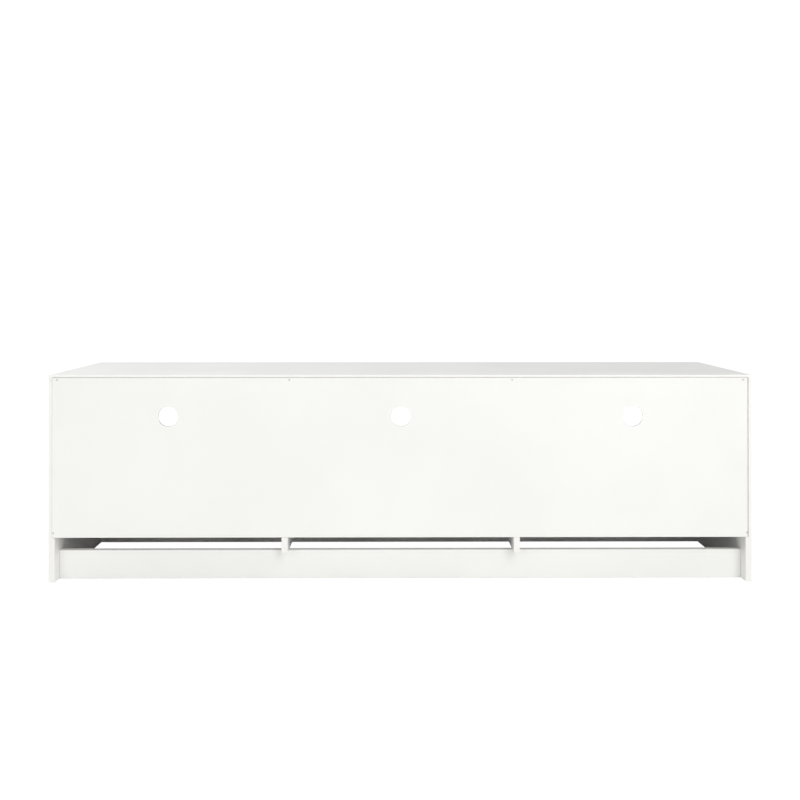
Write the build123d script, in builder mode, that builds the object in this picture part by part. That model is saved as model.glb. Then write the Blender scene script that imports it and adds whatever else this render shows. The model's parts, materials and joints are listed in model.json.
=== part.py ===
from build123d import *
from collections import namedtuple
from math import cos, radians, sin
import os

# TV stand in white-faced board, millimetres. +Z is up, the doors face -Y and the back faces +Y.
# The origin is on the floor, at the middle of the whole stand's box, handles included.
# Left and right are as seen from the front, so left is -X.

# ---- driving dimensions ----
WIDTH = 1800
HEIGHT = 530
DEPTH = 410
BOARD = 16
EDGE = 1.2
HANDLE_PROUD = 24

REAR = (DEPTH + HANDLE_PROUD) / 2
FRONT = REAR - DEPTH
MIDDLE_Y = (FRONT + REAR) / 2
INNER = WIDTH / 2 - BOARD

# Three equal bays between the side panels and two dividers.
BAY = (2 * INNER - 2 * BOARD) / 3
DIVIDER_X = (BAY + BOARD) / 2
BAY_X = {"left": -(BAY + BOARD), "middle": 0, "right": BAY + BOARD}
ENDS = {"left": -1, "right": 1}
SIDES = (-1, 1)

# Heights of the boards' undersides and of the plinths.
REAR_PLINTH_HEIGHT = 74
BOTTOM_Z = 114
FLOOR_Z = BOTTOM_Z + BOARD
SHELF_Z = 312
SHELF_TOP_Z = SHELF_Z + BOARD
TOP_Z = HEIGHT - BOARD
PLINTH_SETBACK = 26
REAR_PLINTH_SETBACK = 32
FRONT_PLINTH_REAR = FRONT + PLINTH_SETBACK + BOARD
REAR_PLINTH_FRONT = REAR - REAR_PLINTH_SETBACK - BOARD

# The back panel lies in a rabbet, just below the rear edges, with a small gap round it. It sits
# towards the right, so its gap is wider at the left.
BACK_THICK = 3
RABBET_DEPTH = 3.5
SIDE_LAP = 7.5
TOP_LAP = 10
BACK_GAP = 1
BACK_GAP_LEFT = 1.5
BACK_GAP_RIGHT = 0.3
SHOULDER = REAR - RABBET_DEPTH
RABBET_HALF_WIDTH = INNER + SIDE_LAP
BACK_LEFT = -RABBET_HALF_WIDTH + BACK_GAP_LEFT
BACK_RIGHT = RABBET_HALF_WIDTH - BACK_GAP_RIGHT
BACK_TOP = TOP_Z + TOP_LAP - BACK_GAP
BACK_BOTTOM = BOTTOM_Z + 0.5
CABLE_HOLE_RADIUS = 25.5
CABLE_HOLE_Z = 424

# Inset drop-down doors. The pivot is at the middle of the door's thickness, near its lower edge.
SIDE_REVEAL = 2
TOP_REVEAL = 2
BOTTOM_REVEAL = 3.5
DOOR_WIDTH = BAY - 2 * SIDE_REVEAL
DOOR_BOTTOM = FLOOR_Z + BOTTOM_REVEAL
DOOR_TOP = SHELF_Z - TOP_REVEAL
DOOR_BACK = FRONT + BOARD
PIVOT_Y = FRONT + BOARD / 2
PIVOT_Z = DOOR_BOTTOM + 12
PIN_RADIUS = 3
RUNNING = 0.05

# Bar handle on two posts, at the standard 128 mm hole spacing.
HANDLE_LENGTH = 160
HANDLE_SPACING = 128
HANDLE_BAR = 8
HANDLE_Z = DOOR_TOP - 30

# Sliding-rod stay. The door's pin and the swivel are equally far from the door's pivot,
# so the rod turns exactly half as far as the door.
STAY_RADIUS = 110
STAY_PIN_ANGLE = 80
STAY_SWIVEL_ANGLE = 40
STAY_PIN_Y = PIVOT_Y + STAY_RADIUS * cos(radians(STAY_PIN_ANGLE))
STAY_PIN_Z = PIVOT_Z + STAY_RADIUS * sin(radians(STAY_PIN_ANGLE))
SWIVEL_Y = PIVOT_Y + STAY_RADIUS * cos(radians(STAY_SWIVEL_ANGLE))
SWIVEL_Z = PIVOT_Z + STAY_RADIUS * sin(radians(STAY_SWIVEL_ANGLE))
ROD_TILT = (STAY_PIN_ANGLE + STAY_SWIVEL_ANGLE) / 2 - 90
OPEN_REACH = 2 * STAY_RADIUS * sin(radians((STAY_PIN_ANGLE - STAY_SWIVEL_ANGLE + 90) / 2))
SWIVEL_LENGTH = 18
ROD_RADIUS = 3
ROD_OFF_WALL = 17
ROD_LENGTH = OPEN_REACH + SWIVEL_LENGTH / 2 + 1

# Fasteners. A screw is its shank's radius, its head's radius and its head's height.
Screw = namedtuple("Screw", "radius head_radius head_height")
BACK_SCREW = Screw(1.25, 2.4, 1)
SMALL_SCREW = Screw(1.5, 3, 1.6)
BLOCK_SCREW = Screw(1.75, 3.4, 2)
HANDLE_SCREW = Screw(2, 4, 2.2)
DIVIDER_SCREW = Screw(2.5, 4.3, 4)
DOWEL_RADIUS = 4
DOWEL_LENGTH = 28
DOWEL_DEEP = 18
CAM_RADIUS = 7.5
CAM_DEPTH = 12.5
CAM_SETBACK = 34
CAM_SLOT = 16
BOLT_HOLE_RADIUS = 3.5
BOLT_RADIUS = 3
THREAD_RADIUS = 2.5
CAM_Y = (FRONT + 50, REAR - 60)
DOWEL_Y = (FRONT + 105, REAR - 115)
SHELF_PIN_RADIUS = 2.5
SHELF_PIN_Y = (FRONT + 55, REAR - 65)
SHELF_PIN_IN = 7
SHELF_PIN_OUT = 9
BUSH_RADIUS = 5
BUSH_FLANGE_RADIUS = 7
BUSH_FLANGE = 1.2
BUSH_IN = 7
CORNER_BLOCK = 20

ALONG_X = (0, 90, 0)
ALONG_Y = (90, 0, 0)
ALONG_Z = (0, 0, 0)

os.makedirs("parts", exist_ok=True)


def write(piece, node):
    piece.part.label = node
    export_step(piece.part, f"parts/{node}.step")


def board(x_low, x_high, y_low, y_high, z_low, z_high, rounding=EDGE):
    """A rectangular board with lightly rounded edges, given by its limits."""
    with BuildSketch(Plane.XY.offset(z_low)) as outline:
        with Locations(((x_low + x_high) / 2, (y_low + y_high) / 2)):
            Rectangle(x_high - x_low, y_high - y_low)
    extrude(outline.sketch, amount=z_high - z_low)
    if rounding:
        fillet(edges(Select.LAST), rounding)


def cut(x_low, x_high, y_low, y_high, z_low, z_high):
    """Removes a rectangular block, given by its limits."""
    with Locations(((x_low + x_high) / 2, (y_low + y_high) / 2, (z_low + z_high) / 2)):
        Box(x_high - x_low, y_high - y_low, z_high - z_low, mode=Mode.SUBTRACT)


def rounds(points, radius, length, turn=ALONG_Z, mode=Mode.ADD):
    """Cylinders centred on the points: bars and pins, or holes when the mode is subtract."""
    with Locations(*points):
        Cylinder(radius, length, rotation=turn, mode=mode)


def drill(points, radius, length, turn=ALONG_Z):
    rounds(points, radius, length, turn, Mode.SUBTRACT)


def screw(point, into, size, bite, seat):
    """A pan-head screw. It bites into the board at the point, through a piece that is seat thick."""
    under_head = Plane(point, z_dir=into).offset(-seat)
    with BuildSketch(under_head) as shank:
        Circle(size.radius)
    extrude(shank.sketch, amount=seat + bite)
    with BuildSketch(under_head) as head:
        Circle(size.head_radius)
    extrude(head.sketch, amount=-size.head_height, taper=15)


# ---- where the fasteners go ----
UPRIGHTS_X = [end * (INNER + BOARD / 2) for end in SIDES] + [end * DIVIDER_X for end in SIDES]
TOP_DOWELS = [(x, y, TOP_Z - DOWEL_DEEP + DOWEL_LENGTH / 2) for x in UPRIGHTS_X for y in DOWEL_Y]
DIVIDER_DOWEL_Z = FLOOR_Z + DOWEL_DEEP - DOWEL_LENGTH / 2
DIVIDER_DOWELS = [(end * DIVIDER_X, y, DIVIDER_DOWEL_Z) for end in SIDES for y in DOWEL_Y]
BOTTOM_DOWEL_X = INNER - DOWEL_DEEP + DOWEL_LENGTH / 2
BOTTOM_DOWELS = [(end * BOTTOM_DOWEL_X, y, BOTTOM_Z + BOARD / 2) for end in SIDES for y in DOWEL_Y]
DIVIDER_SCREW_Y = (FRONT + 70, REAR - 80)
DIVIDER_SCREW_LENGTH = 56
DIVIDER_SCREW_HEAD_Z = REAR_PLINTH_HEIGHT + 20
HEAD_HOLE_RADIUS = 4.5
DIVIDER_SCREWS = [(end * DIVIDER_X, y) for end in SIDES for y in DIVIDER_SCREW_Y]
# The back panel's screws: four into the top panel and one into the foot of each side panel.
TOP_SCREW_Z = TOP_Z + 3.5
TOP_SCREWS = [(end * x, TOP_SCREW_Z) for end in SIDES for x in (INNER - 5, DIVIDER_X - 12)]
FOOT_SCREWS = [(end * (INNER + SIDE_LAP / 2), BOTTOM_Z + 12) for end in SIDES]
BACK_SCREWS = TOP_SCREWS + FOOT_SCREWS
BACK_SCREW_LENGTH = 14
BUSH_WALLS = [(BAY_X[bay] + end * BAY / 2, end) for bay in BAY_X for end in SIDES]
CATCH_LENGTH = 44
CATCH_HEIGHT = 12
CATCH_DEPTH = 16
CATCH_FRONT = DOOR_BACK + 1.2
CATCH_SCREW_X = 16
CATCH_SCREW_BITE = 9
MAGNET_HALF = 11
MAGNET_DEPTH = 12
MAGNET_LOW = SHELF_Z - 10
MAGNET_HIGH = SHELF_Z - 3


def cam_hole_x(x):
    """The face of an upright that its cams are let into: the one towards the stand's middle."""
    inward = -1 if x > 0 else 1
    return x + inward * (BOARD - CAM_DEPTH) / 2


TOP_CAMS = [(cam_hole_x(x), y, TOP_Z - CAM_SETBACK) for x in UPRIGHTS_X for y in CAM_Y]
BOTTOM_CAMS = [(end * (INNER - CAM_SETBACK), y, BOTTOM_Z + CAM_DEPTH / 2) for end in SIDES for y in CAM_Y]
BOLT_LENGTH = CAM_SETBACK - 4
BOLT_THREAD = 10
# A hole centred on a board's end, long enough for the bolt to reach its cam.
BOLT_WAY = 2 * (CAM_SETBACK - CAM_RADIUS + 1)

# Corner blocks tie each plinth's ends to the side panels: the plinth's inner face, the way the block
# stands out from it, and the block's height above the floor.
BLOCK_FACES = [(FRONT_PLINTH_REAR, 1, 50), (REAR_PLINTH_FRONT, -1, 30)]
BLOCK_SCREW_BITE = 10
BLOCK_MIDDLE_X = INNER - CORNER_BLOCK / 2
PLINTH_SCREWS = []
SIDE_SCREWS = []
for end in SIDES:
    for face, way, height in BLOCK_FACES:
        PLINTH_SCREWS.append((end * BLOCK_MIDDLE_X, face, height + 6))
        SIDE_SCREWS.append((end * INNER, face + way * CORNER_BLOCK / 2, height + 14))

# Each stay's base is screwed to the wall at the left end of its bay.
STAY_SCREW_BITE = 10
STAY_BASE_THICK = 3
STAY_BASE_HALF = 20
STAY_BASE_SCREW_REACH = 14


def catch_screw_points(centre):
    return [(centre + end * CATCH_SCREW_X, CATCH_FRONT + CATCH_DEPTH / 2, SHELF_Z) for end in SIDES]


def stay_base_screws(wall):
    return [(wall, SWIVEL_Y + step * STAY_BASE_SCREW_REACH, SWIVEL_Z) for step in (-1, 1)]


# ---- boards ----
with BuildPart() as top_panel:
    board(-WIDTH / 2, WIDTH / 2, FRONT, REAR, TOP_Z, HEIGHT)
    cut(-RABBET_HALF_WIDTH, RABBET_HALF_WIDTH, SHOULDER, REAR + 1, TOP_Z - 1, TOP_Z + TOP_LAP)
    drill(TOP_DOWELS, DOWEL_RADIUS, DOWEL_LENGTH + 1)
    drill([(x, y, TOP_Z) for x in UPRIGHTS_X for y in CAM_Y], THREAD_RADIUS, 2 * BOLT_THREAD)
    drill([(x, SHOULDER, z) for x, z in TOP_SCREWS], BACK_SCREW.radius, 2 * BACK_SCREW_LENGTH, ALONG_Y)
write(top_panel, "top_panel")

for side, end in ENDS.items():
    wall = end * INNER
    outside = end * WIDTH / 2
    with BuildPart() as side_panel:
        board(min(wall, outside), max(wall, outside), FRONT, REAR, 0, TOP_Z)
        lap = wall + end * SIDE_LAP
        cut(min(wall - end, lap), max(wall - end, lap), SHOULDER, REAR + 1, BOTTOM_Z, TOP_Z + 1)
        drill(TOP_DOWELS, DOWEL_RADIUS, DOWEL_LENGTH + 1)
        drill(BOTTOM_DOWELS, DOWEL_RADIUS, DOWEL_LENGTH + 1, ALONG_X)
        drill(TOP_CAMS, CAM_RADIUS, CAM_DEPTH, ALONG_X)
        drill([(wall + end * BOARD / 2, y, TOP_Z) for y in CAM_Y], BOLT_HOLE_RADIUS, BOLT_WAY)
        drill([(wall, y, BOTTOM_Z + BOARD / 2) for y in CAM_Y], THREAD_RADIUS, 2 * BOLT_THREAD, ALONG_X)
        drill([(wall, PIVOT_Y, PIVOT_Z)], BUSH_RADIUS, 2 * (BUSH_IN + 0.2), ALONG_X)
        pins = [(wall, y, SHELF_Z - SHELF_PIN_RADIUS) for y in SHELF_PIN_Y]
        drill(pins, SHELF_PIN_RADIUS, 2 * SHELF_PIN_IN, ALONG_X)
        foot_screws = [(x, SHOULDER, z) for x, z in FOOT_SCREWS]
        drill(foot_screws, BACK_SCREW.radius, 2 * BACK_SCREW_LENGTH, ALONG_Y)
        drill(SIDE_SCREWS, BLOCK_SCREW.radius, 2 * BLOCK_SCREW_BITE, ALONG_X)
        if side == "left":
            drill(stay_base_screws(wall), SMALL_SCREW.radius, 2 * STAY_SCREW_BITE, ALONG_X)
    write(side_panel, f"side_panel_{side}")

for side, end in ENDS.items():
    centre = end * DIVIDER_X
    left_face = centre - BOARD / 2
    right_face = centre + BOARD / 2
    with BuildPart() as divider:
        board(left_face, right_face, FRONT, SHOULDER, FLOOR_Z, TOP_Z)
        drill(TOP_DOWELS + DIVIDER_DOWELS, DOWEL_RADIUS, DOWEL_LENGTH + 1)
        drill(TOP_CAMS, CAM_RADIUS, CAM_DEPTH, ALONG_X)
        drill([(centre, y, TOP_Z) for y in CAM_Y], BOLT_HOLE_RADIUS, BOLT_WAY)
        screw_depth = DIVIDER_SCREW_HEAD_Z + DIVIDER_SCREW_LENGTH - FLOOR_Z
        drill([(x, y, FLOOR_Z) for x, y in DIVIDER_SCREWS], DIVIDER_SCREW.radius, 2 * screw_depth)
        pivots = [(x, PIVOT_Y, PIVOT_Z) for x in (left_face, right_face)]
        drill(pivots, BUSH_RADIUS, 2 * (BUSH_IN + 0.2), ALONG_X)
        pins = [(x, y, SHELF_Z - SHELF_PIN_RADIUS) for x in (left_face, right_face) for y in SHELF_PIN_Y]
        drill(pins, SHELF_PIN_RADIUS, 2 * SHELF_PIN_IN, ALONG_X)
        drill(stay_base_screws(right_face), SMALL_SCREW.radius, 2 * STAY_SCREW_BITE, ALONG_X)
    write(divider, f"divider_{side}")

with BuildPart() as bottom_panel:
    board(-INNER, INNER, FRONT, SHOULDER, BOTTOM_Z, FLOOR_Z)
    drill(BOTTOM_DOWELS, DOWEL_RADIUS, DOWEL_LENGTH + 1, ALONG_X)
    drill(DIVIDER_DOWELS, DOWEL_RADIUS, DOWEL_LENGTH + 1)
    drill(BOTTOM_CAMS, CAM_RADIUS, CAM_DEPTH)
    bolt_ends = [(end * INNER, y, BOTTOM_Z + BOARD / 2) for end in SIDES for y in CAM_Y]
    drill(bolt_ends, BOLT_HOLE_RADIUS, BOLT_WAY, ALONG_X)
    drill([(x, y, BOTTOM_Z) for x, y in DIVIDER_SCREWS], DIVIDER_SCREW.radius, 3 * BOARD)
write(bottom_panel, "bottom_panel")

for bay, centre in BAY_X.items():
    with BuildPart() as media_shelf:
        board(centre - BAY / 2 + 0.5, centre + BAY / 2 - 0.5, FRONT, SHOULDER - 0.5, SHELF_Z, SHELF_TOP_Z)
        drill(catch_screw_points(centre), SMALL_SCREW.radius, 20)
    write(media_shelf, f"media_shelf_{bay}")

with BuildPart() as back_panel:
    board(BACK_LEFT, BACK_RIGHT, SHOULDER, SHOULDER + BACK_THICK, BACK_BOTTOM, BACK_TOP, 0)
    holes = [(centre, SHOULDER + BACK_THICK / 2, CABLE_HOLE_Z) for centre in BAY_X.values()]
    drill(holes, CABLE_HOLE_RADIUS, 2 * BACK_THICK, ALONG_Y)
    drill([(x, SHOULDER, z) for x, z in BACK_SCREWS], BACK_SCREW.radius, 4 * BACK_THICK, ALONG_Y)
write(back_panel, "back_panel")

with BuildPart() as front_plinth:
    board(-INNER, INNER, FRONT_PLINTH_REAR - BOARD, FRONT_PLINTH_REAR, 0, BOTTOM_Z)
    drill(PLINTH_SCREWS, BLOCK_SCREW.radius, 2 * BLOCK_SCREW_BITE, ALONG_Y)
write(front_plinth, "front_plinth")

with BuildPart() as rear_plinth:
    board(-INNER, INNER, REAR_PLINTH_FRONT, REAR_PLINTH_FRONT + BOARD, 0, REAR_PLINTH_HEIGHT)
    drill(PLINTH_SCREWS, BLOCK_SCREW.radius, 2 * BLOCK_SCREW_BITE, ALONG_Y)
write(rear_plinth, "rear_plinth")

# The rails stand on the rear plinth and carry the bottom panel under the dividers.
for side, end in ENDS.items():
    centre = end * DIVIDER_X
    with BuildPart() as rail:
        board(centre - BOARD / 2, centre + BOARD / 2, FRONT_PLINTH_REAR, REAR, REAR_PLINTH_HEIGHT, BOTTOM_Z)
        rail_height = BOTTOM_Z - REAR_PLINTH_HEIGHT
        drill([(x, y, BOTTOM_Z) for x, y in DIVIDER_SCREWS], DIVIDER_SCREW.radius, 2 * (rail_height + 1))
        head_room = DIVIDER_SCREW_HEAD_Z - REAR_PLINTH_HEIGHT
        drill([(x, y, REAR_PLINTH_HEIGHT) for x, y in DIVIDER_SCREWS], HEAD_HOLE_RADIUS, 2 * head_room)
    write(rail, f"support_rail_{side}")

# ---- carcass fasteners ----
with BuildPart() as dowels:
    rounds(TOP_DOWELS + DIVIDER_DOWELS, DOWEL_RADIUS, DOWEL_LENGTH)
    rounds(BOTTOM_DOWELS, DOWEL_RADIUS, DOWEL_LENGTH, ALONG_X)
write(dowels, "dowels")

with BuildPart() as cam_bolts:
    for x in UPRIGHTS_X:
        for y in CAM_Y:
            with BuildSketch(Plane((x, y, TOP_Z - BOLT_LENGTH))):
                Circle(BOLT_RADIUS)
            extrude(amount=BOLT_LENGTH)
            with BuildSketch(Plane((x, y, TOP_Z))):
                Circle(THREAD_RADIUS)
            extrude(amount=BOLT_THREAD)
    for end in SIDES:
        for y in CAM_Y:
            shank = Plane((end * (INNER - BOLT_LENGTH), y, BOTTOM_Z + BOARD / 2), z_dir=(end, 0, 0))
            with BuildSketch(shank):
                Circle(BOLT_RADIUS)
            extrude(amount=BOLT_LENGTH)
            with BuildSketch(shank.offset(BOLT_LENGTH)):
                Circle(THREAD_RADIUS)
            extrude(amount=BOLT_THREAD)
write(cam_bolts, "cam_bolts")

# Each cam is a disc with a slot that the bolt's end lies in.
with BuildPart() as cam_locks:
    rounds(TOP_CAMS, CAM_RADIUS - 0.1, CAM_DEPTH, ALONG_X)
    rounds(BOTTOM_CAMS, CAM_RADIUS - 0.1, CAM_DEPTH)
    slot_z = TOP_Z - CAM_SETBACK + CAM_SLOT / 2
    drill([(x, y, slot_z) for x in UPRIGHTS_X for y in CAM_Y], BOLT_HOLE_RADIUS, CAM_SLOT)
    slot_x = INNER - CAM_SETBACK + CAM_SLOT / 2
    bottom_slots = [(end * slot_x, y, BOTTOM_Z + BOARD / 2) for end in SIDES for y in CAM_Y]
    drill(bottom_slots, BOLT_HOLE_RADIUS, CAM_SLOT, ALONG_X)
write(cam_locks, "cam_locks")

with BuildPart() as divider_screws:
    shank_z = DIVIDER_SCREW_HEAD_Z + DIVIDER_SCREW_LENGTH / 2
    rounds([(x, y, shank_z) for x, y in DIVIDER_SCREWS], DIVIDER_SCREW.radius, DIVIDER_SCREW_LENGTH)
    head_z = DIVIDER_SCREW_HEAD_Z - DIVIDER_SCREW.head_height / 2
    rounds([(x, y, head_z) for x, y in DIVIDER_SCREWS], DIVIDER_SCREW.head_radius, DIVIDER_SCREW.head_height)
write(divider_screws, "divider_screws")

with BuildPart() as back_panel_screws:
    for x, z in BACK_SCREWS:
        bite = BACK_SCREW_LENGTH - BACK_THICK
        screw((x, SHOULDER, z), (0, -1, 0), BACK_SCREW, bite, BACK_THICK)
write(back_panel_screws, "back_panel_screws")

with BuildPart() as shelf_pins:
    for wall, end in BUSH_WALLS:
        pin_x = wall + end * (SHELF_PIN_IN - SHELF_PIN_OUT) / 2
        middles = [(pin_x, y, SHELF_Z - SHELF_PIN_RADIUS) for y in SHELF_PIN_Y]
        rounds(middles, SHELF_PIN_RADIUS, SHELF_PIN_IN + SHELF_PIN_OUT, ALONG_X)
write(shelf_pins, "shelf_pins")

with BuildPart() as corner_blocks:
    for end in SIDES:
        near = end * INNER
        far = end * (INNER - CORNER_BLOCK)
        for face, way, height in BLOCK_FACES:
            deep = face + way * CORNER_BLOCK
            low_x, high_x = sorted((near, far))
            low_y, high_y = sorted((face, deep))
            board(low_x, high_x, low_y, high_y, height, height + CORNER_BLOCK, 0)
    drill(PLINTH_SCREWS, BLOCK_SCREW.radius, 2 * CORNER_BLOCK + 2, ALONG_Y)
    drill(SIDE_SCREWS, BLOCK_SCREW.radius, 2 * CORNER_BLOCK + 2, ALONG_X)
write(corner_blocks, "corner_blocks")

with BuildPart() as corner_block_screws:
    for x, y, z in PLINTH_SCREWS:
        into = (0, -1, 0) if y == FRONT_PLINTH_REAR else (0, 1, 0)
        screw((x, y, z), into, BLOCK_SCREW, BLOCK_SCREW_BITE, CORNER_BLOCK)
    for x, y, z in SIDE_SCREWS:
        into = (1, 0, 0) if x > 0 else (-1, 0, 0)
        screw((x, y, z), into, BLOCK_SCREW, BLOCK_SCREW_BITE, CORNER_BLOCK)
write(corner_block_screws, "corner_block_screws")

# ---- door hardware that stays on the carcass ----
with BuildPart() as pivot_bushes:
    for wall, end in BUSH_WALLS:
        mouth = Plane((wall, PIVOT_Y, PIVOT_Z), z_dir=(end, 0, 0))
        with BuildSketch(mouth):
            Circle(BUSH_RADIUS)
        extrude(amount=BUSH_IN)
        with BuildSketch(mouth):
            Circle(BUSH_FLANGE_RADIUS)
        extrude(amount=-BUSH_FLANGE)
    drill([(wall, PIVOT_Y, PIVOT_Z) for wall, end in BUSH_WALLS], PIN_RADIUS + RUNNING, 4 * BUSH_IN, ALONG_X)
write(pivot_bushes, "pivot_bushes")

SWIVEL_PIN_RADIUS = 3
SWIVEL_PIN_TIP = ROD_OFF_WALL - ROD_RADIUS - 2
with BuildPart() as stay_bases:
    for centre in BAY_X.values():
        wall = Plane((centre - BAY / 2, SWIVEL_Y, SWIVEL_Z), x_dir=(0, 1, 0), z_dir=(1, 0, 0))
        with BuildSketch(wall):
            SlotOverall(2 * STAY_BASE_HALF, STAY_BASE_HALF)
        extrude(amount=STAY_BASE_THICK)
        with BuildSketch(wall):
            Circle(SWIVEL_PIN_RADIUS)
        extrude(amount=SWIVEL_PIN_TIP)
        drill(stay_base_screws(centre - BAY / 2), SMALL_SCREW.radius, 4 * STAY_BASE_THICK, ALONG_X)
write(stay_bases, "stay_bases")

with BuildPart() as base_screws:
    for centre in BAY_X.values():
        for point in stay_base_screws(centre - BAY / 2):
            screw(point, (-1, 0, 0), SMALL_SCREW, STAY_SCREW_BITE - 0.5, STAY_BASE_THICK)
write(base_screws, "stay_base_screws")

with BuildPart() as catches:
    for centre in BAY_X.values():
        low = centre - CATCH_LENGTH / 2
        catch_rear = CATCH_FRONT + CATCH_DEPTH
        board(low, low + CATCH_LENGTH, CATCH_FRONT, catch_rear, SHELF_Z - CATCH_HEIGHT, SHELF_Z, 0)
        pocket_rear = CATCH_FRONT + MAGNET_DEPTH
        cut(centre - MAGNET_HALF, centre + MAGNET_HALF, CATCH_FRONT - 1, pocket_rear, MAGNET_LOW, MAGNET_HIGH)
        drill(catch_screw_points(centre), SMALL_SCREW.radius, 2 * CATCH_HEIGHT + 2)
write(catches, "catches")

with BuildPart() as catch_magnets:
    for centre in BAY_X.values():
        magnet_rear = CATCH_FRONT + MAGNET_DEPTH
        board(
            centre - MAGNET_HALF, centre + MAGNET_HALF,
            CATCH_FRONT + 0.1, magnet_rear,
            MAGNET_LOW, MAGNET_HIGH, 0,
        )
write(catch_magnets, "catch_magnets")

with BuildPart() as catch_screws:
    for centre in BAY_X.values():
        for point in catch_screw_points(centre):
            screw(point, (0, 0, 1), SMALL_SCREW, CATCH_SCREW_BITE, CATCH_HEIGHT)
write(catch_screws, "catch_screws")

# ---- doors and what moves with them ----
PIN_IN_DOOR = 20
PIN_OUT = SIDE_REVEAL + BUSH_IN - 0.5
HANDLE_SCREW_BITE = 10
BRACKET_THICK = 2
EYE_LOW = ROD_OFF_WALL - ROD_RADIUS
EYE_HIGH = ROD_OFF_WALL + ROD_RADIUS
EYE_RADIUS = 6.5
EAR_LOW = EYE_HIGH + 0.6
EAR_HIGH = EAR_LOW + 3
BRACKET_HALF = 14
BRACKET_SCREW_STEP = 8
STAY_PIN_RADIUS = 2.5
STAY_PIN_HEAD = 1.5
HANDLE_WIDTH = 12
POST_RADIUS = 5
STRIKE_HALF = 18
END_STOP_RADIUS = 5
END_STOP = 4
SWIVEL_HEIGHT = 16


def door_pins(centre):
    reach = DOOR_WIDTH / 2 + (PIN_OUT - PIN_IN_DOOR) / 2
    return [(centre + end * reach, PIVOT_Y, PIVOT_Z) for end in SIDES]


def handle_screw_points(centre):
    return [(centre + end * HANDLE_SPACING / 2, FRONT, HANDLE_Z) for end in SIDES]


def bracket_screw_points(centre):
    x = centre - BAY / 2 + EAR_HIGH + 6
    return [(x, DOOR_BACK, STAY_PIN_Z + step * BRACKET_SCREW_STEP) for step in (-1, 1)]


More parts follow.
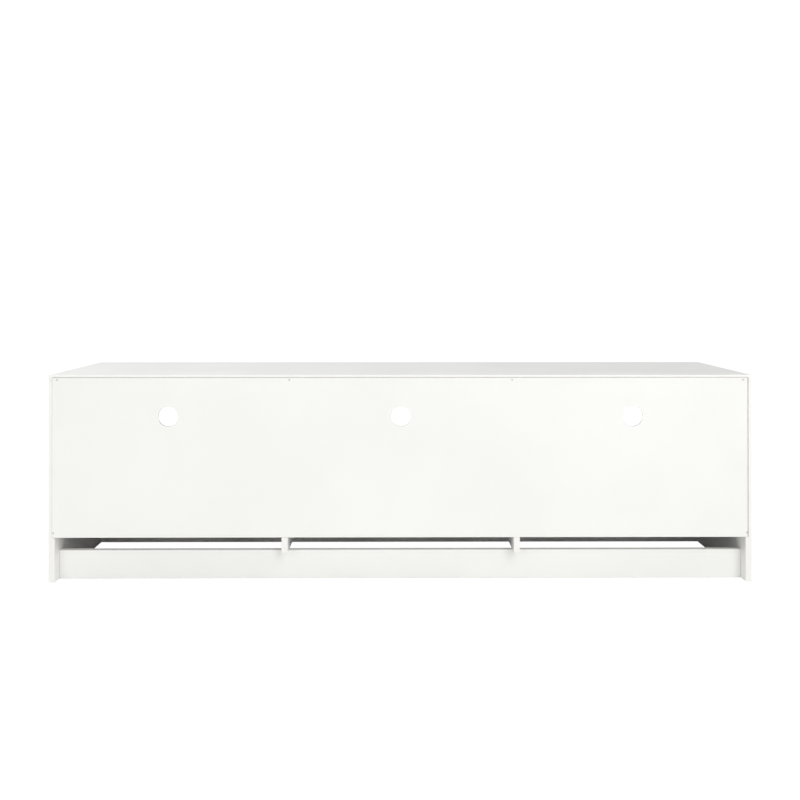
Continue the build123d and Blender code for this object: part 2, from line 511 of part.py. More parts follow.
for bay, centre in BAY_X.items():
    wall = centre - BAY / 2

    with BuildPart() as door:
        board(centre - DOOR_WIDTH / 2, centre + DOOR_WIDTH / 2, FRONT, DOOR_BACK, DOOR_BOTTOM, DOOR_TOP)
        drill(door_pins(centre), PIN_RADIUS, PIN_OUT + PIN_IN_DOOR, ALONG_X)
        drill(handle_screw_points(centre), HANDLE_SCREW.radius, 3 * BOARD, ALONG_Y)
        drill(bracket_screw_points(centre), SMALL_SCREW.radius, 2 * STAY_SCREW_BITE, ALONG_Y)
    write(door, f"door_{bay}")

    with BuildPart() as pivot_pins:
        rounds(door_pins(centre), PIN_RADIUS, PIN_OUT + PIN_IN_DOOR, ALONG_X)
        chamfer(edges().filter_by(GeomType.CIRCLE), 0.6)
    write(pivot_pins, f"pivot_pins_{bay}")

    # The handle is a rounded bar on two round posts that are tapped for its screws.
    with BuildPart() as handle:
        bar_middle = (centre, FRONT - HANDLE_PROUD + HANDLE_BAR / 2, HANDLE_Z)
        with BuildSketch(Plane(bar_middle, x_dir=(1, 0, 0), z_dir=(0, -1, 0))):
            RectangleRounded(HANDLE_LENGTH, HANDLE_WIDTH, 4)
        extrude(amount=HANDLE_BAR / 2, both=True)
        fillet(faces().filter_by(Axis.Y).edges(), 2)
        for x, y, z in handle_screw_points(centre):
            with BuildSketch(Plane((x, FRONT, z), z_dir=(0, -1, 0))):
                Circle(POST_RADIUS)
            extrude(amount=HANDLE_PROUD - HANDLE_BAR / 2)
        drill(handle_screw_points(centre), HANDLE_SCREW.radius, 2 * (HANDLE_SCREW_BITE + 1), ALONG_Y)
    write(handle, f"handle_{bay}")

    with BuildPart() as handle_screws:
        for point in handle_screw_points(centre):
            screw(point, (0, -1, 0), HANDLE_SCREW, HANDLE_SCREW_BITE, BOARD)
    write(handle_screws, f"handle_screws_{bay}")

    with BuildPart() as strike_plate:
        low = centre - STRIKE_HALF
        board(low, low + 2 * STRIKE_HALF, DOOR_BACK, DOOR_BACK + 1, MAGNET_LOW - 3, DOOR_TOP - 1, 0)
    write(strike_plate, f"strike_plate_{bay}")

    # The bracket's ear holds the pin that the stay rod's eye turns on; a small head keeps the eye on.
    with BuildPart() as bracket:
        board(
            wall + EYE_LOW - 4, wall + EAR_HIGH + 12, DOOR_BACK, DOOR_BACK + BRACKET_THICK,
            STAY_PIN_Z - BRACKET_HALF, STAY_PIN_Z + BRACKET_HALF, 0,
        )
        with BuildSketch(Plane((wall + EAR_LOW, STAY_PIN_Y, STAY_PIN_Z), x_dir=(0, 1, 0), z_dir=(1, 0, 0))):
            Circle(EYE_RADIUS)
            reach = STAY_PIN_Y - DOOR_BACK
            with Locations((-reach / 2, 0)):
                Rectangle(reach, 2 * EYE_RADIUS)
        extrude(amount=EAR_HIGH - EAR_LOW)
        with BuildSketch(Plane((wall + EYE_LOW - 0.5, STAY_PIN_Y, STAY_PIN_Z), z_dir=(1, 0, 0))):
            Circle(STAY_PIN_RADIUS)
        extrude(amount=EAR_HIGH - EYE_LOW + 0.5)
        with BuildSketch(Plane((wall + EYE_LOW - 0.5, STAY_PIN_Y, STAY_PIN_Z), z_dir=(-1, 0, 0))):
            Circle(STAY_PIN_RADIUS + STAY_PIN_HEAD)
        extrude(amount=STAY_PIN_HEAD)
        drill(bracket_screw_points(centre), SMALL_SCREW.radius, 4 * BRACKET_THICK, ALONG_Y)
    write(bracket, f"stay_bracket_{bay}")

    with BuildPart() as bracket_screws:
        for point in bracket_screw_points(centre):
            screw(point, (0, -1, 0), SMALL_SCREW, STAY_SCREW_BITE - 0.5, BRACKET_THICK)
    write(bracket_screws, f"bracket_screws_{bay}")

    # The rod slides through the swivel as the door drops; its end stop meets the swivel at the limit.
    along = (0, cos(radians(ROD_TILT)), sin(radians(ROD_TILT)))
    with BuildPart() as stay_rod:
        with BuildSketch(Plane((wall + EYE_LOW, STAY_PIN_Y, STAY_PIN_Z), z_dir=(1, 0, 0))):
            Circle(EYE_RADIUS)
        extrude(amount=EYE_HIGH - EYE_LOW)
        rod_line = Plane((wall + ROD_OFF_WALL, STAY_PIN_Y, STAY_PIN_Z), z_dir=along)
        with BuildSketch(rod_line):
            Circle(ROD_RADIUS)
        extrude(amount=ROD_LENGTH)
        with BuildSketch(rod_line.offset(ROD_LENGTH)):
            Circle(END_STOP_RADIUS)
        extrude(amount=END_STOP)
        eye_hole = [(wall + ROD_OFF_WALL, STAY_PIN_Y, STAY_PIN_Z)]
        drill(eye_hole, STAY_PIN_RADIUS + RUNNING, 3 * EYE_RADIUS, ALONG_X)
    write(stay_rod, f"stay_rod_{bay}")

    with BuildPart() as swivel:
        near_wall = STAY_BASE_THICK + 0.5
        with BuildSketch(Plane((wall + near_wall, SWIVEL_Y, SWIVEL_Z), x_dir=along, z_dir=(1, 0, 0))):
            RectangleRounded(SWIVEL_LENGTH, SWIVEL_HEIGHT, 4)
        extrude(amount=ROD_OFF_WALL + ROD_RADIUS + 3 - near_wall)
        with BuildSketch(Plane((wall + ROD_OFF_WALL, SWIVEL_Y, SWIVEL_Z), z_dir=along)):
            Circle(ROD_RADIUS + 0.1)
        extrude(amount=SWIVEL_LENGTH, both=True, mode=Mode.SUBTRACT)
        pin_depth = SWIVEL_PIN_TIP + 0.4
        drill([(wall, SWIVEL_Y, SWIVEL_Z)], SWIVEL_PIN_RADIUS + RUNNING, 2 * pin_depth, ALONG_X)
    write(swivel, f"stay_swivel_{bay}")
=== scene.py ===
import json
import math

import bmesh
import bpy
from mathutils import Matrix, Vector


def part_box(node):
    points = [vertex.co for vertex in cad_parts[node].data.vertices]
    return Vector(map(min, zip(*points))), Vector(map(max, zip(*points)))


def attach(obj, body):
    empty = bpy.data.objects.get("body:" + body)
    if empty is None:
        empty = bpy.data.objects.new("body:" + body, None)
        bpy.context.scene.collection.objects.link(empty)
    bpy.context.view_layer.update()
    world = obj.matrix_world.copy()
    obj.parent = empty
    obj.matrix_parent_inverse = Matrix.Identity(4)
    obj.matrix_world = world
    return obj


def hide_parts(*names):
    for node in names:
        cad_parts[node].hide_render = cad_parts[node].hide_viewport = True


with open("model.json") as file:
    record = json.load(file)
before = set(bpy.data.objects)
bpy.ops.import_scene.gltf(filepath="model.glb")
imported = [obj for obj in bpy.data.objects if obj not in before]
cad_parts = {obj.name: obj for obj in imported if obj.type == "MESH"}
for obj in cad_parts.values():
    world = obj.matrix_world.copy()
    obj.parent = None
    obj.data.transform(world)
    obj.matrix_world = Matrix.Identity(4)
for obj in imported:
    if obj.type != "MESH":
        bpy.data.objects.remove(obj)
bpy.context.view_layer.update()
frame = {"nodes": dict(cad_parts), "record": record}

# A long white television stand in melamine-faced board, seen from behind and a little above its top.
# Metres, in the frame's own axes: the doors face -Y, the back faces +Y, +Z is up.

MM = 0.001
BAYS = ("left", "middle", "right")

# ---------------------------------------------------------------- camera
REAR_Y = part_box("top_panel")[1][1]
TOP_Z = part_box("top_panel")[1][2]

camera_data = bpy.data.cameras.new("camera")
camera_data.lens = 40.55
camera_data.sensor_width = 36
camera_data.shift_y = -0.1409
camera = bpy.data.objects.new("camera", camera_data)
bpy.context.scene.collection.objects.link(camera)
camera.location = (0.0144, REAR_Y + 2.3077, TOP_Z + 0.2178)
camera.rotation_euler = Vector((-0.00534, -1, 0.00286)).to_track_quat("-Z", "Y").to_euler()
bpy.context.scene.camera = camera

# ---------------------------------------------------------------- small helpers


def colour(hex_text):
    """An sRGB hex colour as linear red, green, blue and alpha."""
    parts = [int(hex_text[i : i + 2], 16) / 255 for i in (0, 2, 4)]
    linear = [c / 12.92 if c <= 0.04045 else ((c + 0.055) / 1.055) ** 2.4 for c in parts]
    return (*linear, 1)


def add(tree, kind, inputs=None, **settings):
    """Adds one node, sets its settings, and fills or links its inputs."""
    node = tree.nodes.new(kind)
    for name, value in settings.items():
        setattr(node, name, value)
    for name, value in (inputs or {}).items():
        if isinstance(value, bpy.types.NodeSocket):
            tree.links.new(value, node.inputs[name])
        else:
            node.inputs[name].default_value = value
    return node


def blank(name):
    """A material with only its shader, and the object's own coordinates in metres."""
    material = bpy.data.materials.new(name)
    material.use_nodes = True
    tree = material.node_tree
    shader = tree.nodes["Principled BSDF"]
    place = add(tree, "ShaderNodeTexCoord").outputs["Object"]
    return material, tree, shader, place


def per_mm(size):
    """The texture scale whose features are about this many millimetres across."""
    return 1 / (size * MM)


# A Mix node's sockets for its two colours, and the one that gives the result.
FIRST, SECOND, MIXED = 6, 7, 2

# The edging is 1 mm ABS. Its glue line is 0.1 mm wide and is drawn at 0.3 mm so that a close view shows it.
EDGING = 1.0 * MM
GLUE_LINE = 0.3 * MM


def edge_distance(tree, place, low, high):
    """How far a point is from the nearest of the four narrow edges of a board with these corners."""
    axes = add(tree, "ShaderNodeSeparateXYZ", {0: place}).outputs
    thin = min(range(3), key=lambda axis: high[axis] - low[axis])
    nearest = None
    for axis in range(3):
        if axis == thin:
            continue
        for limit in (low[axis], high[axis]):
            past = add(tree, "ShaderNodeMath", {0: axes[axis], 1: limit}, operation="SUBTRACT").outputs[0]
            gap = add(tree, "ShaderNodeMath", {0: past}, operation="ABSOLUTE").outputs[0]
            if nearest is None:
                nearest = gap
            else:
                nearest = add(tree, "ShaderNodeMath", {0: nearest, 1: gap}, operation="MINIMUM").outputs[0]
    return nearest


def cloudy(tree, place, across, low, high):
    """A white that drifts slowly between two tones, and the drift itself. Across is in millimetres."""
    clouding = {"Vector": place, "Scale": per_mm(across), "Detail": 2.0}
    cloud = add(tree, "ShaderNodeTexNoise", clouding).outputs["Fac"]
    middle = {"Value": cloud, "From Min": 0.3, "From Max": 0.7}
    drift = add(tree, "ShaderNodeMapRange", middle, interpolation_type="SMOOTHSTEP").outputs["Result"]
    tones = {"Factor": drift, FIRST: colour(low), SECOND: colour(high)}
    return add(tree, "ShaderNodeMix", tones, data_type="RGBA").outputs[MIXED], cloud


def melamine(node, raw=None):
    """A particle board faced with melamine foil: a matt white with a faint pearl and a slow cloudiness.

    Its narrow edges have a slightly smoother edging, with a thin glue line where it meets the foil.
    raw, a function of the tree and the place, masks where a cut shows the bare chips instead.
    """
    material, tree, shader, place = blank(f"white melamine board, {node}")
    tone, cloud = cloudy(tree, place, 260, "F0F0EE", "F4F4F2")
    gloss = add(tree, "ShaderNodeMapRange", {"Value": cloud, "To Min": 0.48, "To Max": 0.56}).outputs["Result"]
    # The press plate's pearl is about 0.4 mm across; it is drawn at 2 mm so that a close view shows it.
    pearl = add(tree, "ShaderNodeTexNoise", {"Vector": place, "Scale": per_mm(2), "Detail": 3.0}).outputs["Fac"]

    gap = edge_distance(tree, place, *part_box(node))
    edging = add(tree, "ShaderNodeMath", {0: gap, 1: EDGING}, operation="LESS_THAN").outputs[0]
    to_line_end = add(tree, "ShaderNodeMath", {0: gap, 1: EDGING + GLUE_LINE}, operation="LESS_THAN").outputs[0]
    glue = add(tree, "ShaderNodeMath", {0: to_line_end, 1: edging}, operation="SUBTRACT").outputs[0]
    banded = {"Factor": edging, FIRST: tone, SECOND: colour("F3F2EF")}
    tone = add(tree, "ShaderNodeMix", banded, data_type="RGBA").outputs[MIXED]
    lined = {"Factor": glue, FIRST: tone, SECOND: colour("CFCCC4")}
    tone = add(tree, "ShaderNodeMix", lined, data_type="RGBA").outputs[MIXED]
    shinier = add(tree, "ShaderNodeMath", {0: edging, 1: 0.08}, operation="MULTIPLY").outputs[0]
    gloss = add(tree, "ShaderNodeMath", {0: gloss, 1: shinier}, operation="SUBTRACT").outputs[0]
    groove = add(tree, "ShaderNodeMath", {0: glue, 1: 2.0}, operation="MULTIPLY").outputs[0]
    relief = add(tree, "ShaderNodeMath", {0: pearl, 1: groove}, operation="SUBTRACT").outputs[0]

    if raw:
        cut = raw(tree, place)
        # Chips in the core of a board are about 2.4 mm across.
        chips = add(tree, "ShaderNodeTexVoronoi", {"Vector": place, "Scale": per_mm(2.4)}).outputs["Color"]
        chip = add(tree, "ShaderNodeSeparateColor", {"Color": chips}).outputs[0]
        woods = {"Factor": chip, FIRST: colour("BDB4A4"), SECOND: colour("D8D1C3")}
        core = add(tree, "ShaderNodeMix", woods, data_type="RGBA").outputs[MIXED]
        bared = {"Factor": cut, FIRST: tone, SECOND: core}
        tone = add(tree, "ShaderNodeMix", bared, data_type="RGBA").outputs[MIXED]
        dull = add(tree, "ShaderNodeMath", {0: cut, 1: 0.9}, operation="MULTIPLY").outputs[0]
        gloss = add(tree, "ShaderNodeMath", {0: gloss, 1: dull}, operation="MAXIMUM").outputs[0]

    tree.links.new(tone, shader.inputs["Base Color"])
    tree.links.new(gloss, shader.inputs["Roughness"])
    bump = add(tree, "ShaderNodeBump", {"Height": relief, "Strength": 0.12, "Distance": 0.1 * MM})
    tree.links.new(bump.outputs["Normal"], shader.inputs["Normal"])
    shader.inputs["IOR"].default_value = 1.5
    return material


def inside(tree, place, low, high):
    """1 within a box given by two corners, 0 outside it."""
    axes = add(tree, "ShaderNodeSeparateXYZ", {0: place}).outputs
    mask = 1.0
    for axis, bottom, top in zip(axes, low, high):
        above = add(tree, "ShaderNodeMath", {0: axis, 1: bottom}, operation="GREATER_THAN").outputs[0]
        below = add(tree, "ShaderNodeMath", {0: axis, 1: top}, operation="LESS_THAN").outputs[0]
        both = add(tree, "ShaderNodeMath", {0: above, 1: below}, operation="MULTIPLY").outputs[0]
        mask = add(tree, "ShaderNodeMath", {0: both, 1: mask}, operation="MULTIPLY").outputs[0]
    return mask


BACK_LOW, BACK_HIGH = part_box("back_panel")
RABBET_GAP = 1.6 * MM


def rabbet(tree, place):
    """The cut faces of the rabbet that the back panel lies in."""
    low = (BACK_LOW[0] - RABBET_GAP, BACK_LOW[1] - 0.1 * MM, BACK_LOW[2] - 3 * MM)
    high = (BACK_HIGH[0] + RABBET_GAP, REAR_Y - 0.2 * MM, BACK_HIGH[2] + RABBET_GAP)
    return inside(tree, place, low, high)


CABLE_HOLES = [m for m in frame["record"]["mounts"] if m["name"].startswith("cable_hole")]


def hardboard():
    """Hardboard with white lacquer on its rear face: smooth, with bare brown fibre on the wall of each cut hole and
    a ring of painted shade in the same brown around its rim.
    """
    material, tree, shader, place = blank("white lacquered hardboard")
    tone, _ = cloudy(tree, place, 300, "F1F1EE", "F4F4F2")
    # Fibres under the lacquer are about 0.3 mm wide; they are drawn at 1.5 mm so that a close view shows them.
    fibre = add(tree, "ShaderNodeTexNoise", {"Vector": place, "Scale": per_mm(1.5), "Detail": 4.0}).outputs["Fac"]
    # These browns are the bare fibre of a cut edge. The same browns also paint the shade ring around each hole.
    fibre_and_rim_shade_browns = {"Factor": fibre, FIRST: colour("9C9488"), SECOND: colour("BDB6AA")}
    bare_fibre_and_rim_shade = add(tree, "ShaderNodeMix", fibre_and_rim_shade_browns, data_type="RGBA").outputs[MIXED]
    for hole in CABLE_HOLES:
        x, _, z = hole["pos_m"]
        radius = hole["dims"]["r_mm"] * MM
        axes = add(tree, "ShaderNodeSeparateXYZ", {0: place}).outputs
        flat = add(tree, "ShaderNodeCombineXYZ", {"X": axes[0], "Z": axes[2]}).outputs[0]
        gap = add(tree, "ShaderNodeVectorMath", {0: flat, 1: (x, 0, z)}, operation="DISTANCE").outputs["Value"]
        # Painted shade: each hole gets a brown ring that is solid to 0.1 mm past its edge and fades out by 0.6 mm.
        # It stands in for the shaded rim of the hole. On the cut wall itself, the brown is the board's bare fibre.
        rim_shade_band = {"Value": gap, "From Min": radius + 0.1 * MM, "From Max": radius + 0.6 * MM}
        lacquer_past_rim_shade = add(tree, "ShaderNodeMapRange", rim_shade_band, interpolation_type="SMOOTHSTEP").outputs["Result"]
        rim_shade_tones = {"Factor": lacquer_past_rim_shade, FIRST: bare_fibre_and_rim_shade, SECOND: tone}
        tone = add(tree, "ShaderNodeMix", rim_shade_tones, data_type="RGBA").outputs[MIXED]
    tree.links.new(tone, shader.inputs["Base Color"])
    bump = add(tree, "ShaderNodeBump", {"Height": fibre, "Strength": 0.08, "Distance": 0.1 * MM})
    tree.links.new(bump.outputs["Normal"], shader.inputs["Normal"])
    shader.inputs["Roughness"].default_value = 0.38
    return material


def metal(name, tint, roughness, grain, stretch, depth):
    """A metal with fine lines or spots: grain is their size in millimetres, stretch draws them out along X."""
    material, tree, shader, place = blank(name)
    scaled = add(tree, "ShaderNodeMapping", {"Vector": place, "Scale": (1 / stretch, 1, 1)}).outputs["Vector"]
    graining = {"Vector": scaled, "Scale": per_mm(grain), "Detail": 3.0}
    lines = add(tree, "ShaderNodeTexNoise", graining).outputs["Fac"]
    tints = {"Factor": lines, FIRST: colour(tint[0]), SECOND: colour(tint[1])}
    tone = add(tree, "ShaderNodeMix", tints, data_type="RGBA").outputs[MIXED]
    tree.links.new(tone, shader.inputs["Base Color"])
    spread = {"Value": lines, "To Min": roughness - 0.06, "To Max": roughness + 0.06}
    gloss = add(tree, "ShaderNodeMapRange", spread)
    tree.links.new(gloss.outputs["Result"], shader.inputs["Roughness"])
    bump = add(tree, "ShaderNodeBump", {"Height": lines, "Strength": depth, "Distance": 0.05 * MM})
    tree.links.new(bump.outputs["Normal"], shader.inputs["Normal"])
    shader.inputs["Metallic"].default_value = 1
    return material


def nylon():
    """Moulded white nylon: an even satin with a little depth, and a very fine spark-eroded mould texture."""
    material, tree, shader, place = blank("moulded white nylon")
    # The mould's texture is about 0.1 mm across; it is drawn at 0.8 mm so that a close view shows it.
    speck = add(tree, "ShaderNodeTexNoise", {"Vector": place, "Scale": per_mm(0.8), "Detail": 2.0}).outputs["Fac"]
    tints = {"Factor": speck, FIRST: colour("E6E6E3"), SECOND: colour("EBEBE8")}
    tone = add(tree, "ShaderNodeMix", tints, data_type="RGBA").outputs[MIXED]
    tree.links.new(tone, shader.inputs["Base Color"])
    bump = add(tree, "ShaderNodeBump", {"Height": speck, "Strength": 0.15, "Distance": 0.05 * MM})
    tree.links.new(bump.outputs["Normal"], shader.inputs["Normal"])
    shader.inputs["Roughness"].default_value = 0.42
    shader.inputs["Subsurface Weight"].default_value = 0.05
    shader.inputs["Subsurface Radius"].default_value = (MM, MM, MM)
    return material


def beech():
    """Turned beech: pale pinkish tan with short darker flecks along the grain."""
    material, tree, shader, place = blank("turned beech")
    along = add(tree, "ShaderNodeMapping", {"Vector": place, "Scale": (1, 1, 0.15)}).outputs["Vector"]
    flecks = add(tree, "ShaderNodeTexNoise", {"Vector": along, "Scale": per_mm(1.2), "Detail": 3.0}).outputs["Fac"]
    tans = {"Factor": flecks, FIRST: colour("B08A5E"), SECOND: colour("D8B98C")}
    tone = add(tree, "ShaderNodeMix", tans, data_type="RGBA").outputs[MIXED]
    tree.links.new(tone, shader.inputs["Base Color"])
    shader.inputs["Roughness"].default_value = 0.65
    return material


def ferrite():
    """Sintered ferrite magnet: near-black, dull and slightly gritty."""
    material, tree, shader, place = blank("sintered ferrite")
    grit = add(tree, "ShaderNodeTexNoise", {"Vector": place, "Scale": per_mm(0.6), "Detail": 4.0}).outputs["Fac"]
    greys = {"Factor": grit, FIRST: colour("232325"), SECOND: colour("38383A")}
    tone = add(tree, "ShaderNodeMix", greys, data_type="RGBA").outputs[MIXED]
    tree.links.new(tone, shader.inputs["Base Color"])
    shader.inputs["Roughness"].default_value = 0.7
    return material


# Brushed steel has long fine lines along each handle, which draw its highlights out across them. They are
# about 0.1 mm apart and are drawn at 0.5 mm. Zinc plate is bright and faintly bluish with soft spots, and
# die cast zinc is a duller grey with a sandy skin.
FINISHES = {
    "back_white": hardboard(),
    "handle_steel": metal("brushed steel", ("C2C2C0", "DCDCDA"), 0.3, 0.5, 40, 0.3),
    "plated_steel": metal("zinc plated steel", ("C6C8CA", "E2E4E4"), 0.38, 1.5, 1, 0.1),
    "cast_zinc": metal("die cast zinc", ("B6B6B5", "CECECC"), 0.5, 0.9, 1, 0.3),
    "white_plastic": nylon(),
    "beech": beech(),
    "magnet": ferrite(),
}
SLOT_OF = {part["node"]: part["material_slot"] for part in frame["record"]["subparts"]}
CUT_NODES = ("top_panel", "side_panel_left", "side_panel_right")

for node, thing in frame["nodes"].items():
    thing.data.materials.clear()
    if SLOT_OF[node] == "board_white":
        thing.data.materials.append(melamine(node, rabbet if node in CUT_NODES else None))
    else:
        thing.data.materials.append(FINISHES[SLOT_OF[node]])

# ---------------------------------------------------------------- modelling helpers


def start_alone():
    """Deselects everything, because an operator acts on all that is selected."""
    bpy.ops.object.select_all(action="DESELECT")


def only(thing):
    """Selects one object and makes it the active one."""
    start_alone()
    thing.select_set(True)
    bpy.context.view_layer.objects.active = thing


def pick(thing, test, kind="faces"):
    """In edit mode, selects the faces, edges or verts that pass a test, and nothing else."""
    bpy.ops.mesh.select_all(action="DESELECT")
    mesh = bmesh.from_edit_mesh(thing.data)
    for element in getattr(mesh, kind):
        element.select_set(bool(test(element)))
    bmesh.update_edit_mesh(thing.data)


def apply(thing, kind, **settings):
    """Adds a modifier to an object and applies it."""
    only(thing)
    modifier = thing.modifiers.new(kind.lower(), kind)
    for name, value in settings.items():
        setattr(modifier, name, value)
    bpy.ops.object.modifier_apply(modifier=modifier.name)


# How nearly straight up or down a face has to point to be picked as a cap.
FACING = 0.9


def drum(radius, depth, middle_z, sides):
    """A cylinder about Z with its place in its mesh, left in edit mode with faces to pick."""
    start_alone()
    bpy.ops.mesh.primitive_cylinder_add(vertices=sides, radius=radius, depth=depth, location=(0, 0, middle_z))
    bpy.ops.object.transform_apply(location=True, rotation=True, scale=True)
    bpy.ops.object.mode_set(mode="EDIT")
    bpy.ops.mesh.select_mode(type="FACE")
    return bpy.context.object


def raise_cap(step, scale):
    """Extrudes the selected cap up by a step and draws it in to a share of its width."""
    bpy.ops.mesh.extrude_region_move(TRANSFORM_OT_translate={"value": (0, 0, step)})
    bpy.ops.transform.resize(value=(scale, scale, 1), center_override=(0, 0, 0))


def cut_slot(thing, size, middle, turn=0.0):
    """Cuts a box out of a piece."""
    start_alone()
    bpy.ops.mesh.primitive_cube_add(size=1, location=middle, rotation=(0, 0, turn))
    cutter = bpy.context.object
    cutter.scale = size
    bpy.ops.object.transform_apply(location=True, rotation=True, scale=True)
    apply(thing, "BOOLEAN", operation="DIFFERENCE", solver="EXACT", object=cutter)
    bpy.data.objects.remove(cutter)


def copied(thing, name):
    """A copy with a mesh of its own."""
    twin = bpy.data.objects.new(name, thing.data.copy())
    bpy.context.scene.collection.objects.link(twin)
    return twin


def merged_copy(node, name):
    """A copy of a CAD node with its loose triangles joined up."""
    twin = copied(frame["nodes"][node], name)
    only(twin)
    bpy.ops.object.mode_set(mode="EDIT")
    bpy.ops.mesh.select_all(action="SELECT")
    bpy.ops.mesh.remove_doubles(threshold=0.002 * MM)
    bpy.ops.object.mode_set(mode="OBJECT")
    return twin


def solids(node):
    """The lowest and highest corners of each separate solid in a CAD node."""
    merged_copy(node, "twin")
    bpy.ops.mesh.separate(type="LOOSE")
    boxes = []
    for part in list(bpy.context.selected_objects):
        spots = [vertex.co for vertex in part.data.vertices]
        low = Vector([min(spot[axis] for spot in spots) for axis in range(3)])
        high = Vector([max(spot[axis] for spot in spots) for axis in range(3)])
        boxes.append((low, high))
        bpy.data.objects.remove(part)
    return sorted(boxes, key=lambda box: tuple(box[0]))


def set_out(master, name, places):
    """One piece made of copies of a master, each at its own place and turn. The master goes."""
    copies = []
    for place, turn in places:
        twin = copied(master, name)
        twin.matrix_world = Matrix.Translation(place) @ turn.to_matrix().to_4x4()
        copies.append(twin)
    bpy.data.objects.remove(master)
    start_alone()
    for twin in copies:
        twin.select_set(True)
    bpy.context.view_layer.objects.active = copies[0]
    if len(copies) > 1:
        bpy.ops.object.join()
    piece = bpy.context.view_layer.objects.active
    piece.name = name
    bpy.ops.object.transform_apply(location=True, rotation=True, scale=True)
    return piece


SMOOTH_ANGLE = math.radians(32)
# Less than the first step of a three-segment bevel, so that a bevel doesn't shade the flat face beside it.
FLAT_ANGLE = math.radians(12)


def dress(piece, body, slot, *nodes, angle=SMOOTH_ANGLE):
    """Gives a piece its finish and its body, and hides the CAD nodes that it stands for."""
    piece.data.materials.clear()
    piece.data.materials.append(FINISHES[slot])
    only(piece)
    bpy.ops.object.shade_smooth_by_angle(angle=angle)
    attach(piece, body)
    if nodes:
        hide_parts(*nodes)


BODY_OF = {node: body for body, nodes in frame["record"]["behaviour"]["bodies"].items() for node in nodes}

# ---------------------------------------------------------------- screws

# Each screw node: its head's height in millimetres and the way that it is driven, or None where
# its screws are driven outwards from the middle of the stand.
SCREWS = {
    "back_panel_screws": (1.0, (0, -1, 0)),
    "stay_base_screws": (1.6, (-1, 0, 0)),
    "catch_screws": (1.6, (0, 0, 1)),
    "corner_block_screws": (2.0, None),
}
for bay in BAYS:
    SCREWS[f"handle_screws_{bay}"] = (2.2, (0, -1, 0))
    SCREWS[f"bracket_screws_{bay}"] = (1.6, (0, -1, 0))


def pan_screw(head_radius, head_height, length):
    """A pan-head screw standing on its tip under the origin, its seat at the origin and a cross recess on top."""
    rim = 0.45 * head_height
    screw = drum(head_radius, rim, rim / 2, 40)
    pick(screw, lambda face: face.normal.z > FACING)
    for step, scale in ((0.27, 0.93), (0.17, 0.87), (0.11, 0.78)):
        raise_cap(step * head_height, scale)
    pick(screw, lambda face: face.normal.z < -FACING)
    bpy.ops.mesh.inset(thickness=0.48 * head_radius)
    raise_cap(-0.8 * length, 1)
    raise_cap(-0.2 * length, 0.3)
    bpy.ops.object.mode_set(mode="OBJECT")
    recess = (1.15 * head_radius, 0.24 * head_radius, 1.1 * head_height)
    for turn in (0, math.pi / 2):
        cut_slot(screw, recess, (0, 0, head_height), turn)
    return screw


for node, (head_height, into) in SCREWS.items():
    boxes = solids(node)
    low, high = boxes[0]
    extents = sorted(high - low)
    places = []
    for low, high in boxes:
        middle = (low + high) / 2
        size = high - low
        along = max(range(3), key=lambda axis: size[axis])
        way = Vector(into) if into else Vector([math.copysign(axis == along, middle[axis]) for axis in range(3)])
        seat = middle - way * (size[along] / 2 - head_height * MM)
        places.append((seat, way.to_track_quat("-Z", "Y")))
    master = pan_screw(extents[0] / 2, head_height * MM, extents[2] - head_height * MM)
    dress(set_out(master, f"{node}_cross_recessed", places), BODY_OF[node], "plated_steel", node)

# ---------------------------------------------------------------- cams and their cover caps

CAM_BOXES = solids("cam_locks")
CAP_RADIUS = 8.5 * MM
CAP_HEIGHT = 1.3 * MM
PEG_RADIUS = 0.7 * MM


def cam_lock(radius, depth):
    """A die-cast cam: a drum with a ringed face, a cross recess, and an open throat on its +Y side for the bolt."""
    cam = drum(radius, depth, -depth / 2, 48)
    pick(cam, lambda face: face.normal.z > FACING)
    bpy.ops.mesh.inset(thickness=0.14 * radius)
    bpy.ops.mesh.inset(thickness=0.05 * radius)
    bpy.ops.mesh.extrude_region_move(TRANSFORM_OT_translate={"value": (0, 0, -0.6 * MM)})
    bpy.ops.object.mode_set(mode="OBJECT")
    throat = (7 * MM, radius, 7 * MM)
    cut_slot(cam, throat, (0, radius / 2 + 0.1 * radius, -depth + 4.5 * MM))
    for turn in (0, math.pi / 2):
        cut_slot(cam, (1.1 * radius, 0.26 * radius, 5 * MM), (0, 0, -0.6 * MM), turn)
    return cam


def cover_cap():
    """A push-in cap: a low dome with a rounded rim and a short peg behind it."""
    rim = 0.4 * CAP_HEIGHT
    cap = drum(CAP_RADIUS, rim, rim / 2, 64)
    pick(cap, lambda face: face.normal.z > FACING)
    for step, scale in ((0.28, 0.975), (0.16, 0.95), (0.1, 0.88), (0.06, 0.7)):
        raise_cap(step * CAP_HEIGHT, scale)
    pick(cap, lambda face: face.normal.z < -FACING)
    bpy.ops.mesh.inset(thickness=CAP_RADIUS - PEG_RADIUS)
    raise_cap(-2.4 * MM, 0.8)
    bpy.ops.object.mode_set(mode="OBJECT")
    return cap


cam_places = []
cap_places = []
for low, high in CAM_BOXES:
    middle = (low + high) / 2
    lies_flat = high[2] - low[2] < high[0] - low[0]
    if lies_flat:
        out = Vector((0, 0, -1))
        bolt_way = Vector((math.copysign(1, middle[0]), 0, 0))
        face = Vector((middle[0], middle[1], low[2]))
    else:
        out = Vector((-math.copysign(1, middle[0]), 0, 0))
        bolt_way = Vector((0, 0, 1))
        face = Vector((low[0] if out[0] < 0 else high[0], middle[1], middle[2]))
    turn = Matrix((bolt_way.cross(out), bolt_way, out)).transposed().to_quaternion()
    cam_places.append((face, turn))
    if not lies_flat:
        cap_places.append((face, turn))
cam_low, cam_high = CAM_BOXES[0]
cam_sizes = sorted(cam_high - cam_low)
cams = set_out(cam_lock(cam_sizes[2] / 2, cam_sizes[0]), "cam_locks_cast", cam_places)
dress(cams, "carcass", "cast_zinc", "cam_locks")
dress(set_out(cover_cap(), "cam_cover_caps", cap_places), "carcass", "white_plastic")

# ---------------------------------------------------------------- hardware with eased edges

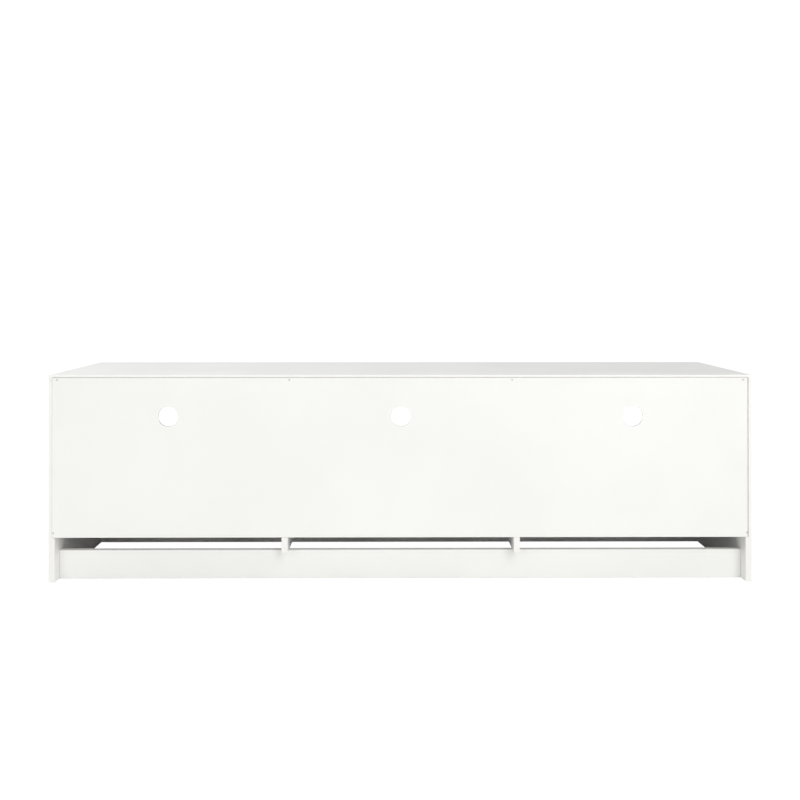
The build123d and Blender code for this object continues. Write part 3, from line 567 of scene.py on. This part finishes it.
# Each node, and the width in millimetres that its sharp edges are eased by.
EASED = {"back_panel": 0.3, "catches": 0.6, "corner_blocks": 0.8, "stay_bases": 0.5, "catch_magnets": 0.3}
for bay in BAYS:
    EASED[f"strike_plate_{bay}"] = 0.3
    EASED[f"stay_bracket_{bay}"] = 0.4
    EASED[f"stay_swivel_{bay}"] = 0.8


def eased(node, width):
    """A CAD node with its sharp edges rounded as moulding, stamping or casting leaves them."""
    piece = merged_copy(node, f"{node}_eased")
    bpy.ops.object.mode_set(mode="EDIT")
    bpy.ops.mesh.select_all(action="SELECT")
    bpy.ops.mesh.dissolve_limited(angle_limit=math.radians(0.5))
    bpy.ops.object.mode_set(mode="OBJECT")
    apply(
        piece, "BEVEL", width=width * MM, segments=3, limit_method="ANGLE",
        angle_limit=math.radians(40), use_clamp_overlap=True,
    )
    return piece


for node, width in EASED.items():
    dress(eased(node, width), BODY_OF[node], SLOT_OF[node], node, angle=FLAT_ANGLE)

# ---------------------------------------------------------------- floor, world and lights

# The floor and the world look plain white to the camera and give the stand a softer light than that.
FLOOR_GLOW = 1.12
FLOOR_GLOW_SEEN = 0.9
WORLD_LIGHT = 0.6
WORLD_SEEN = 1.05

start_alone()
bpy.ops.mesh.primitive_plane_add(size=60, location=(0, 0, 0))
floor = bpy.context.object
floor.name = "floor"
floor_material, tree, shader, place = blank("white studio floor")
shader.inputs["Base Color"].default_value = colour("F2F2F0")
shader.inputs["Roughness"].default_value = 0.9
glow = add(tree, "ShaderNodeEmission", {"Color": (1, 1, 1, 1), "Strength": FLOOR_GLOW}).outputs[0]
ray = add(tree, "ShaderNodeLightPath").outputs["Is Camera Ray"]
share = add(tree, "ShaderNodeMath", {0: ray, 1: FLOOR_GLOW_SEEN}, operation="MULTIPLY").outputs[0]
both = add(tree, "ShaderNodeMixShader", {0: share, 1: shader.outputs[0], 2: glow}).outputs[0]
tree.links.new(both, tree.nodes["Material Output"].inputs["Surface"])
floor.data.materials.append(floor_material)

world = bpy.data.worlds.new("studio")
world.use_nodes = True
sky = world.node_tree
seen = add(sky, "ShaderNodeLightPath").outputs["Is Camera Ray"]
levels = {"Value": seen, "To Min": WORLD_LIGHT, "To Max": WORLD_SEEN}
strength = add(sky, "ShaderNodeMapRange", levels).outputs["Result"]
sky.nodes["Background"].inputs["Color"].default_value = (1, 1, 1, 1)
sky.links.new(strength, sky.nodes["Background"].inputs["Strength"])
bpy.context.scene.world = world
bpy.context.scene.view_settings.view_transform = "Standard"


def soft_light(name, place, target, power, width, height):
    """A soft box aimed at a point. It lights the stand and isn't seen itself."""
    data = bpy.data.lights.new(name, "AREA")
    data.shape = "RECTANGLE"
    data.size = width
    data.size_y = height
    data.energy = power
    light = bpy.data.objects.new(name, data)
    bpy.context.scene.collection.objects.link(light)
    light.location = place
    light.rotation_euler = (Vector(target) - Vector(place)).to_track_quat("-Z", "Y").to_euler()
    light.visible_camera = False


# Three stand behind the stand and light its back, and one hangs over its +X end to even out the top. None
# faces an end panel squarely, so both ends keep their tone.
soft_light("behind, high", (-1.6, 3.2, 3.0), (0, 0.1, 0.3), 39, 2.2, 2.2)
soft_light("behind, low", (-2.1, 3.9, 1.7), (0, 0.1, 0.3), 27, 1.6, 1.6)
soft_light("behind, far side", (2.2, 3.8, 1.5), (0.4, 0.1, 0.3), 20, 1.6, 1.6)
soft_light("overhead", (1.2, 0.1, 2.3), (0.9, 0.1, 0.5), 10, 1.0, 1.0)
# This one lies lower than the top, so it lights the doors and leaves the top as it is.
soft_light("low front", (-0.5, -3.4, TOP_Z / 2), (0, 0, TOP_Z / 2), 40, 3.6, 0.9 * TOP_Z)
